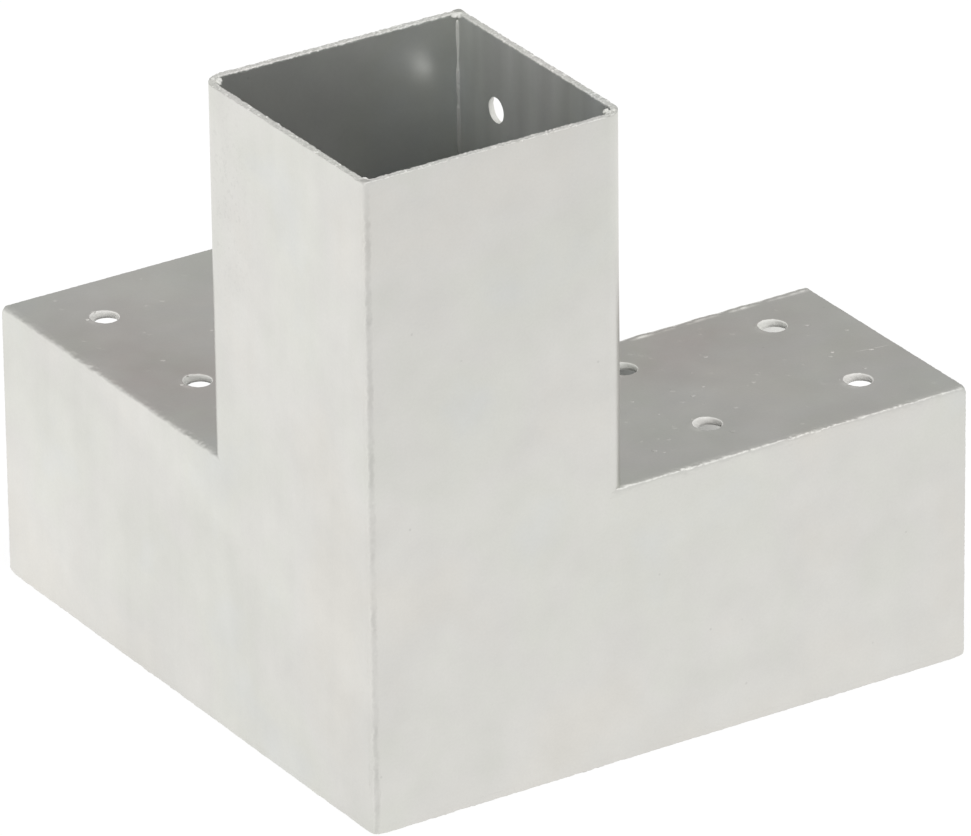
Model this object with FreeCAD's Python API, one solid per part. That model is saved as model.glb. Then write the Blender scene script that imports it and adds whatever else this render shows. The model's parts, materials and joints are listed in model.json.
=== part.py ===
import FreeCAD, Part
import os
from math import sqrt

# A corner connector for three square timber posts, welded up from folded galvanised sheet.
# The upright socket stands on the Z axis, one leg socket runs along +X and one along +Y.
# The three sockets share one open corner cube, and the part stands on its base at Z = 0.

# Driving dimensions, in millimetres
POST_OPENING = 71.0        # clear inside width of each square socket
SHEET = 2.0                # thickness of the sheet
SOCKET_DEPTH = 100.0       # how far each socket reaches past the corner cube
BEND_INSIDE = 4.0          # inside radius of every fold
HOLE_DIAMETER = 7.5        # screw holes
HOLE_END_DISTANCE = 20.0   # from a socket's mouth to the first row of holes
HOLE_PITCH_ALONG = 45.0    # between the two rows, along the socket
HOLE_PITCH_ACROSS = 38.0   # between the two columns, centred on the socket's axis
FILLET_LEG = 2.5           # leg of the fillet welds in the inside corners
FILLET_CROWN = 0.56        # how full those welds are: 0.5 is a flat face
EDGE_ROUND = 0.5           # soft edge of the zinc-coated sheet round each mouth

# Derived positions
SOCKET = POST_OPENING + 2 * SHEET
BEND_OUTSIDE = BEND_INSIDE + SHEET
HIGH = SOCKET / 2                # outer side of the inner walls, on X and on Y
LOW = -HIGH                      # the two long outer faces
MOUTH = HIGH + SOCKET_DEPTH      # mouths of the leg sockets
TOP = SOCKET                     # upper side of the legs
RIM = TOP + SOCKET_DEPTH         # mouth of the upright socket
OUTER_EDGE = LOW + SHEET         # where the plates stop at the welded outer edges
INNER_EDGE = HIGH - SHEET        # where the plates stop at the welded inner edges
LEDGE = TOP - SHEET              # under side of the legs' top plates
DRILL_REACH = 3 * SHEET          # from a sheet's thickness outside a wall to as far inside it

# Directions and tolerances
X_AXIS = FreeCAD.Vector(1, 0, 0)
Y_AXIS = FreeCAD.Vector(0, 1, 0)
Z_AXIS = FreeCAD.Vector(0, 0, 1)
SWAP_X_AND_Y = FreeCAD.Vector(1, -1, 0)
ORIGIN = FreeCAD.Vector(0, 0, 0)
DIAGONAL = 1 / sqrt(2)           # share of a radius, along each side, at the middle of a quarter arc
SAME = 1e-4                      # two lengths this close are the same


def box(low, high):
    """A block between two corners."""
    size = FreeCAD.Vector(*high) - FreeCAD.Vector(*low)
    return Part.makeBox(size.x, size.y, size.z, FreeCAD.Vector(*low))


def segment(start, end):
    """A straight edge."""
    return Part.LineSegment(start, end).toShape()


def quarter_arc(centre, first, second, radius):
    """A quarter circle about centre, from the direction first to the direction second."""
    middle = centre + (first + second) * radius * DIAGONAL
    return Part.Arc(centre + first * radius, middle, centre + second * radius).toShape()


def folded_strip(corner, first, second, width):
    """Section of a strip of sheet folded square at an outer corner, with two equal sides.

    The sides run from the corner along first and second, each width long outside.
    """
    bend_centre = corner + (first + second) * BEND_OUTSIDE
    first_end = corner + first * width
    second_end = corner + second * width
    first_inside = first_end + second * SHEET
    second_inside = second_end + first * SHEET
    edges = [
        segment(first_end, corner + first * BEND_OUTSIDE),
        quarter_arc(bend_centre, -second, -first, BEND_OUTSIDE),
        segment(corner + second * BEND_OUTSIDE, second_end),
        segment(second_end, second_inside),
        segment(second_inside, bend_centre - first * BEND_INSIDE),
        quarter_arc(bend_centre, -first, -second, BEND_INSIDE),
        segment(bend_centre - second * BEND_INSIDE, first_inside),
        segment(first_inside, first_end),
    ]
    return Part.Face(Part.Wire(edges))


def quarter_round(root, first, second):
    """Section of a weld that fills the open corner between two plate edges, rounded outside."""
    edges = [
        segment(root, root + first * SHEET),
        quarter_arc(root, first, second, SHEET),
        segment(root + second * SHEET, root),
    ]
    return Part.Face(Part.Wire(edges))


def fillet_section(root, first, second):
    """Section of a fillet weld in an inside corner, with a slightly crowned face."""
    first_toe = root + first * FILLET_LEG
    second_toe = root + second * FILLET_LEG
    middle = root + (first + second) * FILLET_LEG * FILLET_CROWN
    edges = [
        segment(root, first_toe),
        Part.Arc(first_toe, middle, second_toe).toShape(),
        segment(second_toe, root),
    ]
    return Part.Face(Part.Wire(edges))


def hole_group(centre, along, across, axis):
    """Four drills through one wall, two rows along a socket and two columns across it.

    The centre lies on the wall's outer side, and axis points away from the wall.
    """
    drills = []
    for row in (-0.5, 0.5):
        for column in (-0.5, 0.5):
            place = centre + along * HOLE_PITCH_ALONG * row + across * HOLE_PITCH_ACROSS * column
            start = place + axis * SHEET
            drills.append(Part.makeCylinder(HOLE_DIAMETER / 2, DRILL_REACH, start, -axis))
    return Part.makeCompound(drills)


def soften_mouth(plate, axis, level):
    """Round the long edges of a plate's free end, which lies across axis at the given level."""
    chosen = []
    for edge in plate.Edges:
        if any(abs(vertex.Point.dot(axis) - level) > SAME for vertex in edge.Vertexes):
            continue
        across_the_sheet = isinstance(edge.Curve, Part.Line) and abs(edge.Length - SHEET) < SAME
        if not across_the_sheet:
            chosen.append(edge)
    return plate.makeFillet(EDGE_ROUND, chosen)


def swapped(shape):
    """The same piece on the other leg: X and Y change places."""
    return shape.mirror(ORIGIN, SWAP_X_AND_Y)


def hole_centre_distance():
    """From a socket's mouth to the middle of its hole group."""
    return HOLE_END_DISTANCE + HOLE_PITCH_ALONG / 2


def face_plate():
    """The right outer face: an L-shaped plate whose upper arm is folded round the upright's corner."""
    fold_corner = FreeCAD.Vector(HIGH, LOW, LEDGE)
    upper = folded_strip(fold_corner, -X_AXIS, Y_AXIS, SOCKET - SHEET).extrude(Z_AXIS * (RIM - LEDGE))
    lower = box((OUTER_EDGE, LOW, SHEET), (MOUTH, OUTER_EDGE, LEDGE))
    plate = upper.fuse(lower).removeSplitter()
    plate = soften_mouth(plate, Z_AXIS, RIM)
    return soften_mouth(plate, X_AXIS, MOUTH)


def drilled_face_plate():
    """The right face plate with its fold drilled, so that the upright post can be screwed."""
    centre = FreeCAD.Vector(HIGH, 0, RIM - hole_centre_distance())
    return face_plate().cut(hole_group(centre, Z_AXIS, Y_AXIS, X_AXIS))


def upright_outline():
    """The upright's outside, with its two folded corners, as a block through the whole height."""
    corners = [
        FreeCAD.Vector(LOW, LOW, 0),
        FreeCAD.Vector(HIGH, LOW, 0),
        FreeCAD.Vector(HIGH, HIGH, 0),
        FreeCAD.Vector(LOW, HIGH, 0),
    ]
    block = Part.Face(Part.makePolygon(corners + corners[:1])).extrude(Z_AXIS * RIM)
    folded = [
        edge
        for edge in block.Edges
        if abs(edge.Length - RIM) < SAME and edge.Vertexes[0].X * edge.Vertexes[0].Y < 0
    ]
    return block.makeFillet(BEND_OUTSIDE, folded)


def leg_angle():
    """The right leg's top plate and inner wall, one drilled strip scribed to the upright."""
    fold_corner = FreeCAD.Vector(HIGH - BEND_OUTSIDE, HIGH, TOP)
    length = MOUTH - fold_corner.x
    angle = folded_strip(fold_corner, -Y_AXIS, -Z_AXIS, SOCKET - SHEET).extrude(X_AXIS * length)
    angle = angle.cut(upright_outline())
    angle = soften_mouth(angle, X_AXIS, MOUTH)
    centre = FreeCAD.Vector(MOUTH - hole_centre_distance(), 0, TOP)
    return angle.cut(hole_group(centre, X_AXIS, Y_AXIS, Z_AXIS))


def base_plate():
    """The flat L-shaped plate under the corner cube and both legs."""
    right_arm = box((OUTER_EDGE, OUTER_EDGE, 0), (MOUTH, INNER_EDGE, SHEET))
    plate = right_arm.fuse(swapped(right_arm)).removeSplitter()
    plate = soften_mouth(plate, X_AXIS, MOUTH)
    return soften_mouth(plate, Y_AXIS, MOUTH)


def front_corner_weld():
    """The weld down the outer vertical edge, ending in a ball corner where three seams meet."""
    root = FreeCAD.Vector(OUTER_EDGE, OUTER_EDGE, SHEET)
    run = quarter_round(root, -X_AXIS, -Y_AXIS).extrude(Z_AXIS * (RIM - SHEET))
    ball = Part.makeSphere(SHEET, root)
    ball_corner = ball.common(box((LOW, LOW, 0), (OUTER_EDGE, OUTER_EDGE, SHEET)))
    return run.fuse(ball_corner).removeSplitter()


def base_weld():
    """The weld along the bottom edge of the right face plate."""
    root = FreeCAD.Vector(OUTER_EDGE, OUTER_EDGE, SHEET)
    return quarter_round(root, -Y_AXIS, -Z_AXIS).extrude(X_AXIS * (MOUTH - OUTER_EDGE))


def top_weld():
    """The weld between the right face plate and the leg's top plate, run up to the folded corner."""
    start = HIGH - BEND_OUTSIDE / 2
    root = FreeCAD.Vector(start, OUTER_EDGE, LEDGE)
    run = quarter_round(root, -Y_AXIS, Z_AXIS).extrude(X_AXIS * (MOUTH - start))
    return run.cut(upright_outline())


def back_corner_weld():
    """The weld down the line where four sheet edges meet, from the rim to the base.

    Above the legs it is the upright's rounded back corner. Below, it fills the corner between
    the legs' inner walls.
    """
    root = FreeCAD.Vector(INNER_EDGE, INNER_EDGE, TOP)
    rounded = quarter_round(root, X_AXIS, Y_AXIS).extrude(Z_AXIS * SOCKET_DEPTH)
    fill = box((INNER_EDGE, INNER_EDGE, 0), (HIGH, HIGH, TOP))
    return rounded.fuse(fill).removeSplitter()


def inner_corner_weld():
    """The fillet weld outside, where the two legs' inner walls meet."""
    root = FreeCAD.Vector(HIGH, HIGH, SHEET)
    straight_wall = TOP - BEND_OUTSIDE - SHEET
    return fillet_section(root, X_AXIS, Y_AXIS).extrude(Z_AXIS * straight_wall)


def inner_base_weld():
    """The weld under the right leg's inner wall."""
    root = FreeCAD.Vector(HIGH, INNER_EDGE, SHEET)
    return quarter_round(root, Y_AXIS, -Z_AXIS).extrude(X_AXIS * SOCKET_DEPTH)


def root_weld():
    """The fillet weld where the right leg's top plate meets the upright's wall."""
    root = FreeCAD.Vector(HIGH, LOW + BEND_OUTSIDE, TOP)
    return fillet_section(root, X_AXIS, Z_AXIS).extrude(Y_AXIS * (SOCKET - 2 * BEND_OUTSIDE))


PIECES = {
    "right_face_plate": drilled_face_plate(),
    "left_face_plate": swapped(face_plate()),
    "base_plate": base_plate(),
    "right_leg_angle": leg_angle(),
    "left_leg_angle": swapped(leg_angle()),
    "front_corner_weld": front_corner_weld(),
    "right_base_weld": base_weld(),
    "left_base_weld": swapped(base_weld()),
    "right_top_weld": top_weld(),
    "left_top_weld": swapped(top_weld()),
    "back_corner_weld": back_corner_weld(),
    "inner_corner_weld": inner_corner_weld(),
    "right_inner_base_weld": inner_base_weld(),
    "left_inner_base_weld": swapped(inner_base_weld()),
    "right_root_weld": root_weld(),
    "left_root_weld": swapped(root_weld()),
}

os.makedirs("parts", exist_ok=True)
for name, piece in PIECES.items():
    piece.exportStep("parts/" + name + ".step")
    print(name, "solids", len(piece.Solids), "volume", round(piece.Volume, 1), "valid", piece.isValid())
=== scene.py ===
import json
import random
from math import cos, exp, inf, pi, radians, sin
from typing import NamedTuple

import bmesh
import bpy
import numpy as np
from mathutils import Matrix, Vector, noise
from mathutils.geometry import delaunay_2d_cdt


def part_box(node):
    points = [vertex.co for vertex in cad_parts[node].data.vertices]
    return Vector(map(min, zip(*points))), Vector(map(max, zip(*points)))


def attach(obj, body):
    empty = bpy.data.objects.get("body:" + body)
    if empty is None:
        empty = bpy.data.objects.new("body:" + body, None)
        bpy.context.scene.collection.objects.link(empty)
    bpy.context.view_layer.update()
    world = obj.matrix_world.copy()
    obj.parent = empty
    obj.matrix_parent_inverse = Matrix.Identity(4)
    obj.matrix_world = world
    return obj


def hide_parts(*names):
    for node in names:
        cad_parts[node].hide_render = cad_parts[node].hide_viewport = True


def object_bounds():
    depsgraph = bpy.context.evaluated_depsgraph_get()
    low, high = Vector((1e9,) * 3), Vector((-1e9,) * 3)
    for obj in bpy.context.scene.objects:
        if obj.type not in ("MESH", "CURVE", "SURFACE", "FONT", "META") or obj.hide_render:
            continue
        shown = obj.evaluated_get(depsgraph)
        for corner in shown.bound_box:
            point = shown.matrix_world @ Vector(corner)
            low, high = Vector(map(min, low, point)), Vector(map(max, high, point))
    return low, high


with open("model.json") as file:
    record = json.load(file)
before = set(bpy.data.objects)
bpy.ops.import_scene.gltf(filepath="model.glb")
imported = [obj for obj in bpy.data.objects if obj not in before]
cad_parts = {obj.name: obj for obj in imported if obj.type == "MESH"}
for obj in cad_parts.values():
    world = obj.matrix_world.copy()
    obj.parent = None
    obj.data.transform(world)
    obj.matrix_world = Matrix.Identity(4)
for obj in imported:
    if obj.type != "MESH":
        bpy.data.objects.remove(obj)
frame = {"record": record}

# The looks of a galvanised three-way post connector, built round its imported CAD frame.
# The upright socket stands on the Z axis, one leg runs along +X and one along +Y.
# Mesh code works in millimetres, and the finished meshes are in metres.

CAD_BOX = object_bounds()
MM = 0.001
UP = Vector((0, 0, 1))


def node_box(node):
    """Lowest and highest corner of a CAD node, in millimetres."""
    low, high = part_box(node)
    return low / MM, high / MM


# Sizes read from the frame, in millimetres
LOW = CAD_BOX[0].x / MM  # the two long outer faces, on X and Y
MOUTH = CAD_BOX[1].x / MM  # mouths of the leg sockets
RIM = CAD_BOX[1].z / MM  # mouth of the upright socket
SHEET = node_box("base_plate")[1].z  # thickness of the sheet
HIGH = node_box("back_corner_weld")[1].x  # outer side of the inner walls
TOP = node_box("right_leg_angle")[1].z  # upper side of the legs
BEND = node_box("right_root_weld")[0].y - LOW  # outside radius of the folds
FILLET = node_box("right_root_weld")[1].x - HIGH  # leg of the fillet welds
OUTER_EDGE = LOW + SHEET  # where plates stop at welded outer edges
INNER_EDGE = HIGH - SHEET  # and at inner ones
LEDGE = TOP - SHEET  # under side of the legs' top plates
FOLD_START = HIGH - BEND  # where a fold begins
FOLD_LENGTH = BEND * pi / 2  # outside length of a fold
LEG_FLAT = FOLD_START - OUTER_EDGE  # width of the flat part of a leg's top

# How the zinc-coated sheet departs from the bare CAD form, in millimetres.
# A layer of noise is its strength and the size of its features.
SKIN_LOW = 0.06  # least depth of the skins under the bare faces
SKIN_EDGE = 0.025  # their depth along the welds
SKIN_BLEND = 4.0  # how far from a weld they reach their full depth
SKIN_WAVE = 0.07  # low waves in the flat faces
SKIN_WAVE_SIZE = 28.0
FOLD_RIDGE = 0.5  # ridge along the start of a leg's fold
RIDGE_CREST = 0.6  # how far past that start its crest lies
RIDGE_WANDER = (0.35, 9.0)  # layer that moves the crest
RIDGE_BREAKS = (0.5, ((0.9, 6.0), (0.4, 1.7)))  # mean share of its height, and layers
RIDGE_WIDTHS = (0.55, 2.2)  # before and behind the crest
EDGE_ROUND = 0.45  # soft edge round each mouth
RIM_WEAR = 0.26  # how far the zinc on the rim wanders
MOUTH_WEAR = 0.13  # and on the legs' mouths
EDGE_RAGGED = (0.5, ((0.9, 0.55), (0.6, 2.4)))  # mean share of that wear, and layers
EDGE_STIR = (0.4, 0.6)  # layer of it through the sheet
TIP_ROUND = 1.6  # rounding of the front corner at the base
TUCK = 0.3  # how far the legs reach under the upright's skin
SCRIBE = np.linspace(0, 4, 9)  # where a leg's top is scribed, across it
SLIT = 0.05  # saw cut between an arm and the leg's face
ON_EDGE = 0.01  # a point nearer to a mouth is on its cut edge

# Section through a hole's edge, from skin to skin: distance out from the CAD wall, depth below
# the skin, and share of the burr's height
HOLE_SECTION = (
    (1.0, 0, 0.15), (0.6, 0, 0.6), (0.3, 0, 1.0), (0.08, 0.02, 0.9), (-0.1, 0.1, 0.6),
    (-0.22, 0.25, 0.3), (-0.3, 0.45, 0.1), (-0.37, 0.7, 0), (-0.43, 0.95, 0), (-0.48, 1.2, 0),
    (-0.5, 1.38, 0), (-0.46, 1.62, 0), (-0.38, 1.86, 0),
)
HOLE_WALL = 4  # the row where the punched wall begins
HOLE_APRON = 1.7  # ring of zinc round a hole
HOLE_LEAN = 0.6  # how far a hole leans away from its burr
WALL_WANDER = (0.10, 0.8)  # layer that makes a hole uneven
LIP_HEIGHT = 0.3  # burr on one side of a hole
BURR_WAY = (-0.85, 0.55)  # where the burr is highest, on X and Y
BURR_MEAN = 0.15  # share of its height all round
BURR_SIDED = 0.75  # how much it differs from side to side
BURR_LUMPS = (0.5, 1.3)
BURR_GRAIN = (0.35, 0.7)

# Mesh steps, in millimetres
FINE_STEP = 0.22  # along the cut edges that show
PLAIN_STEP = 1.2  # along welded edges
GRID_STEP = 3.0  # inside the faces
GRID_GAP = 1.2  # between that and the finer rows
EDGE_GAP = 0.5  # between all these points and the edges
FOLD_STEP = 0.8  # across the folds
FOLD_MARGIN = 1.0  # how far that grid reaches past a fold
RIDGE_STEP = 0.3  # across the ridge on a leg's fold
RIDGE_BAND = 4.0  # width of that ridge's grid
BAND_GAP = 0.1  # between that grid and the fold's
BEAD_STEP = 0.35  # along the welds
END_ROWS = (0.08, 0.22)  # extra rows, from a weld's ends
BEAD_SIDES = 12
HOLE_POINTS = 60
EDGE_ROWS = ((0.9, 1), (1.4, 2), (2.1, 4), (3.2, 7))  # by a cut edge: inset, and every how many points
EDGE_SHARES = (0.03, 0.09, 0.18, 0.28, 0.39, 0.5, 0.61, 0.72, 0.82, 0.91, 0.97)  # through the sheet
MERGE_GAP = 1e-6  # nearer points become one
COMPARED = 400  # points compared at a time
SHARP_ANGLE = radians(50)  # sharper edges don't look smooth

# Materials of the sheets after the outer one, rows of a cut edge that keep that one, and seeds
INSIDE = 1  # the sockets' inner faces
CUT = 2  # cut edges
PUNCHED = 3  # walls of the holes
EDGE_SKIN = 2  # rows
RIGHT_LEG_SEED = 21
LEFT_LEG_SEED = 31

# Welds, in millimetres
CORNER_FULLNESS = 5.0  # exponent of the corner welds' section: 2 is round
END_FULLNESS = 1.8  # the same at their free ends
ROUND_REACH = 3.0  # length over which a free end grows round
CORNER_SHY = 0.01  # how far they stay inside the plates' faces
CORNER_TOE = ((0.30, -0.45, 0.05), (0.12, -0.28, 0.12), (0.02, -0.1, 0.2))  # short by, depth, lumps' share
FILLET_TOE = (0.25, -0.2, 0.1)  # past the leg by, depth, lumps' share
FILLET_CROWN = 0.79  # middle of a fillet, as a share of its leg
TOE_SHARE = 0.3  # share of the lumps beside a weld's toes
TIP_GAP = 0.05  # how far seams at the base's front corner stop short
BEAD_SWELL = ((0.6, 0.9), (0.7, 2.8))  # layers of the lumps
ROUGH_SIZE = 13.0  # length of rougher stretches
KNOT = 0.3  # height of a knot
KNOT_WIDTH = 1.8
RIPPLE = 0.07  # height of a fillet's ripples
RIPPLE_PITCH = 1.7
RIPPLE_DRIFT = (2.5, 4.0)  # layer that shifts them, in radians
FRONT_KNOTS = (11, 18, 46, 58, 103, 112, 138, 160)  # heights on the front seam
RUN_LEG = 0.45  # weld metal that came through the back corner
RUN_KNOTS = (84, 91, 97)  # along it
RUN_BREAKS = (0.35, ((1.6, 4.5),))  # mean share of a break, and layer
# Lumps of the seams: a steady height and the height of rougher stretches
FRONT_LUMPS = (0.14, 0.3)
BASE_LUMPS = (0.12, 0.3)
TOP_LUMPS = ((0.22, 0.45), (0.22, 0.30))  # on the right and on the left
BACK_LUMPS = (0.18, 0.45)
FILLET_LUMPS = (0.09, 0.22)
RUN_LUMPS = (0.5, 0.5)

# Zinc drops, in millimetres
DROP_SEED = 7
DROP_SIDES = 12
# Rings of a drop from its skirt up: sunk by, share of its height, share of its radius
DROP_SECTION = ((-0.3, 0, 0.95), (0, 0, 1), (0, 0.5, 0.85), (0, 0.85, 0.55), (0, 1, 0.22))
DROP_UNEVEN = (0.35, 1.0)  # layer of its outline
DROP_LOOP = 1.3  # radius of the loop where it is read
DROP_ALONG = (HIGH + 4, MOUTH - 3)  # where drops lie on a leg's top
DROP_ACROSS = (OUTER_EDGE + 2, FOLD_START - 3)
RIGHT_PIMPLES = 85
LEFT_PIMPLES = 65
HOLE_CLEAR = 2.5  # no pimple is nearer to a hole
HOLE_BLOBS = 3  # at the burr of each hole
BRIGHT_DROP = (121.3, -2.0)  # on the right leg's top, along and across
SCRATCH = ((124.5, -4.8), (136.5, -6.6))  # from end to end
CORNER_BLOBS = 4  # at each corner of the rim
CORNER_SPREAD = 0.9
CORNER_PULL = 0.2  # towards the middle of the socket
CORNER_LEAN = 0.6
RIM_SPECKS = 55  # on each side of the rim

# Paint. A spot is a centre and a reach on X, Y and Z in millimetres.
WHITE = (1.0, 1.0, 1.0)
UNIT = (0.0, 1.0)
NOISE_SPAN = (0.25, 0.75)  # where most values of noise lie
# brown stains on the legs' tops, which also paint shade towards the upright
STAINS_AND_SHADE = (((-24, 84, 75), (30, 50, 20)), ((88, 24, 75), (52, 26, 20)))
BROWN = (0.925, 0.875, 0.872)
GREEN = (0.97, 0.99, 0.965)
# painted light: lighter patches on the left leg's outer face towards its far end, and on its top towards
# its mouth
PAINTED_LIGHT_PATCHES = (((-37, 125, 20), (12, 55, 45)), ((0, 128, 75), (45, 45, 15)))
PAINTED_LIGHT_LIFT = 0.065  # how much lighter they are
SPECK_PATCH = ((-37, 26, 148), (6, 16, 40))
NICK = ((-36.3, 36.3, 108), (1.2, 1.2, 1.6))
FACE_TINTS = (
    (0.32, (1.014, 1.0, 0.985)), (0.47, (1.004, 1.0, 1.0)),
    (0.58, (0.992, 1.0, 0.982)), (0.70, (0.985, 1.0, 1.012)),
)
CLOUD_TONES = (0.97, 1.03)
BAND_SLANT = (-0.28, -0.28, 1.0)  # the bands climb along both faces
BAND_SPAN = 190  # millimetres
# painted sheen: tones of the bands on faces across X and on faces across Y
X_SHEEN_BANDS = ((20, 0.985), (50, 0.975), (60, 1.015), (66, 1.012), (80, 0.98), (110, 0.99), (150, 0.985))
Y_SHEEN_BANDS = ((10, 0.97), (45, 0.975), (75, 0.988), (95, 1.008), (102, 0.985), (150, 0.978))
# painted highlight and shade across the front seam
SEAM_SHADE_TONES = ((0.30, 1.0), (0.42, 1.07), (0.52, 0.95), (0.64, 0.87), (0.80, 0.88), (0.97, 1.0))
MOUTH_SPAN = (125, 165)  # on X plus Y, where the painted shade on the legs' inner faces lifts
PIT_CELL = 8.0  # millimetres

# Camera, fitted to the photograph
LENS_MM = 418.3
SENSOR_MM = 36.0
CAMERA_DISTANCE = 2797.9 * MM
CAMERA_AZIMUTH = radians(32.394)  # left of the right face's normal
CAMERA_ELEVATION = radians(25.669)
CAMERA_ROLL = radians(0.691)
CAMERA_TARGET = Vector((34.16, 22.75, 70.17)) * MM

# Studio
FLOOR_HALF = 30.0
FLOOR_GLOW = 0.90  # its white that shadows can't take away
FLOOR_TONE = 0.16  # its white that the lamps give
MIRROR_GLOW = 0.872  # the floor as metal sees it
KEY_SIDE = (-0.6, 0.8, 0.0)  # the side where that is brighter
FLOOR_FALL = 0.09  # by how much
FALL_REACH = 0.6  # at this distance
FRONT_SIDE = (-0.5, -0.87, 0.0)  # where it falls off towards the camera
FRONT_REACH = (0.03, 0.30)
FRONT_FALL = 0.06
BACK_SIDE = (0.535, 0.845, 0.0)  # the greyer side, which the legs' tops mirror
SKY_LIGHT = 0.85
SKY_BACK = 0.46
LIGHT_TINT = (1.0, 0.99, 0.973, 1.0)
LAMP_AIM = Vector((0, 0, 0.08))


# Small helpers

def wave(place, size, seed):
    """Smooth noise between about -1 and 1, with features of a size."""
    return noise.noise(Vector(place) / size + Vector((seed * 17.3, seed * 5.1, seed * 9.7)))


def layer(place, kind, seed):
    """A layer of smooth noise, its kind a strength and a size."""
    return kind[0] * wave(place, kind[1], seed)


def patchy(place, mean, layers, seed):
    """A share from 0 to 1 that comes and goes round a mean."""
    share = mean
    for number, kind in enumerate(layers):
        share += layer(place, kind, seed + number)
    return min(1.0, max(0.0, share))


def mirrored(points):
    """The same points on the other leg: X and Y change places."""
    return [(y, x, z) for x, y, z in points]


def swapped(place):
    """The same place function on the other leg."""
    return lambda u, v, depth: mirrored([place(u, v, depth)])[0]


def new_object(name, data):
    """A new object in the scene."""
    made = bpy.data.objects.new(name, data)
    bpy.context.scene.collection.objects.link(made)
    return made


class Draft:
    """A mesh in the making: vertices in millimetres, faces, and the numbers of their materials."""

    def __init__(self):
        self.vertices = []
        self.faces = []
        self.finishes = []

    def point(self, place):
        """Add a vertex and give its number."""
        self.vertices.append(tuple(place))
        return len(self.vertices) - 1

    def face(self, corners, finish=0):
        """Add a face."""
        self.faces.append(tuple(corners))
        self.finishes.append(finish)

    def stitch(self, loops, finish=0):
        """Add quads between neighbouring closed loops of vertex numbers."""
        for first, second in zip(loops, loops[1:]):
            size = len(first)
            for k in range(size):
                n = (k + 1) % size
                self.face((first[k], first[n], second[n], second[k]), finish)


def new_piece(name, draft, materials, nodes):
    """A smooth piece inside the CAD box that rides the part and may stand for CAD nodes."""
    inside = np.clip(np.array(draft.vertices), [LOW, LOW, 0], [MOUTH, MOUTH, RIM])
    mesh = bpy.data.meshes.new(name)
    mesh.from_pydata((inside * MM).tolist(), [], draft.faces)
    for material in materials:
        mesh.materials.append(material)
    mesh.polygons.foreach_set("material_index", draft.finishes)
    shape = bmesh.new()
    shape.from_mesh(mesh)
    bmesh.ops.recalc_face_normals(shape, faces=shape.faces)
    shape.to_mesh(mesh)
    shape.free()
    mesh.shade_smooth()
    mesh.set_sharp_from_angle(angle=SHARP_ANGLE)
    piece = new_object(name, mesh)
    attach(piece, "root")
    if nodes:
        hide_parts(*nodes)


# Sheet pieces: a flat pattern with holes, meshed finely by its cut edges and folded

def free_side(u, v, mouths):
    """Which way a plate lies from its cut edges, at the mouths across its u and its v."""
    if v > mouths[1] - ON_EDGE:
        return 0, -1
    return (-1, 0) if u > mouths[0] - ON_EDGE else (0, 0)


def trace(corners, mouths):
    """Points round a closed outline, fine along free edges."""
    points = []
    for start, end in zip(corners, [*corners[1:], corners[0]]):
        start, end = Vector(start), Vector(end)
        middle = (start + end) / 2
        step = FINE_STEP if any(free_side(*middle, mouths)) else PLAIN_STEP
        pieces = max(1, round((end - start).length / step))
        points += [start.lerp(end, k / pieces) for k in range(pieces)]
    return np.array(points)


def inside_outline(points, outline):
    """Which points lie inside a closed outline, by the even-odd rule."""
    inside = np.zeros(len(points), bool)
    x, y = points.T
    for (x0, y0), (x1, y1) in zip(outline, np.roll(outline, -1, axis=0)):
        if y0 == y1:
            continue
        crosses = (y0 > y) != (y1 > y)
        inside ^= crosses & (x < (x1 - x0) * (y - y0) / (y1 - y0) + x0)
    return inside


def distance_to(points, others):
    """Distance from each point to the nearest of the others."""
    nearest = np.full(len(points), np.inf)
    for block in np.array_split(others, max(1, len(others) // COMPARED)):
        gap = np.linalg.norm(points[:, None] - block, axis=2)
        nearest = np.minimum(nearest, gap.min(axis=1))
    return nearest


def grid_points(low, high, step_u, step_v):
    """A plain grid of pattern points between two corners."""
    across = np.arange(low[0], high[0], step_u)
    along = np.arange(low[1], high[1], step_v)
    return np.stack(np.meshgrid(across, along), axis=-1).reshape(-1, 2)


def pattern_points(outline, sides, holes, hole_reach, fold, ridge):
    """Points inside the pattern: rows by the free edges, a close grid on the fold, a wide grid."""
    free = sides.any(axis=1)
    rows = [(outline + sides * inset)[free][::every] for inset, every in EDGE_ROWS]
    low = outline.min(axis=0)
    high = outline.max(axis=0)
    if fold:
        start, end, foot = fold
        first = start + RIDGE_BAND if ridge else start
        rows.append(grid_points((first, foot), (end, high[1]), FOLD_STEP, 2 * FOLD_STEP))
        if ridge:
            rows.append(grid_points((start, foot), (first - BAND_GAP, high[1]), RIDGE_STEP, 2 * RIDGE_STEP))
    rows = np.concatenate(rows)
    wide = grid_points(low + GRID_STEP / 2, high, GRID_STEP, GRID_STEP)
    wide = wide[distance_to(wide, rows) > GRID_GAP]
    points = np.concatenate([rows, wide])
    points = points[inside_outline(points, outline)]
    points = points[distance_to(points, outline) > EDGE_GAP]
    for hole in holes:
        points = points[np.linalg.norm(points - hole, axis=1) > hole_reach + EDGE_GAP]
    return points


def triangulate(loops, inner):
    """Triangles between an outer loop, hole loops and inner points.

    Gives the flat points, the triangles and the number of each given point.
    """
    flat = np.concatenate([*loops, inner])
    constraints = []
    start = 0
    for loop in loops:
        size = len(loop)
        constraints += [(start + k, start + (k + 1) % size) for k in range(size)]
        start += size
    made = delaunay_2d_cdt([Vector(p) for p in flat], constraints, [], 0, MERGE_GAP)
    points = np.array(made[0])
    number_of = {source: number for number, sources in enumerate(made[3]) for source in sources}
    middles = np.array([points[list(face)].mean(axis=0) for face in made[2]])
    kept = inside_outline(middles, loops[0])
    for ring in loops[1:]:
        kept &= ~inside_outline(middles, ring)
    triangles = [face for face, is_kept in zip(made[2], kept) if is_kept]
    return points, triangles, number_of


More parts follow.
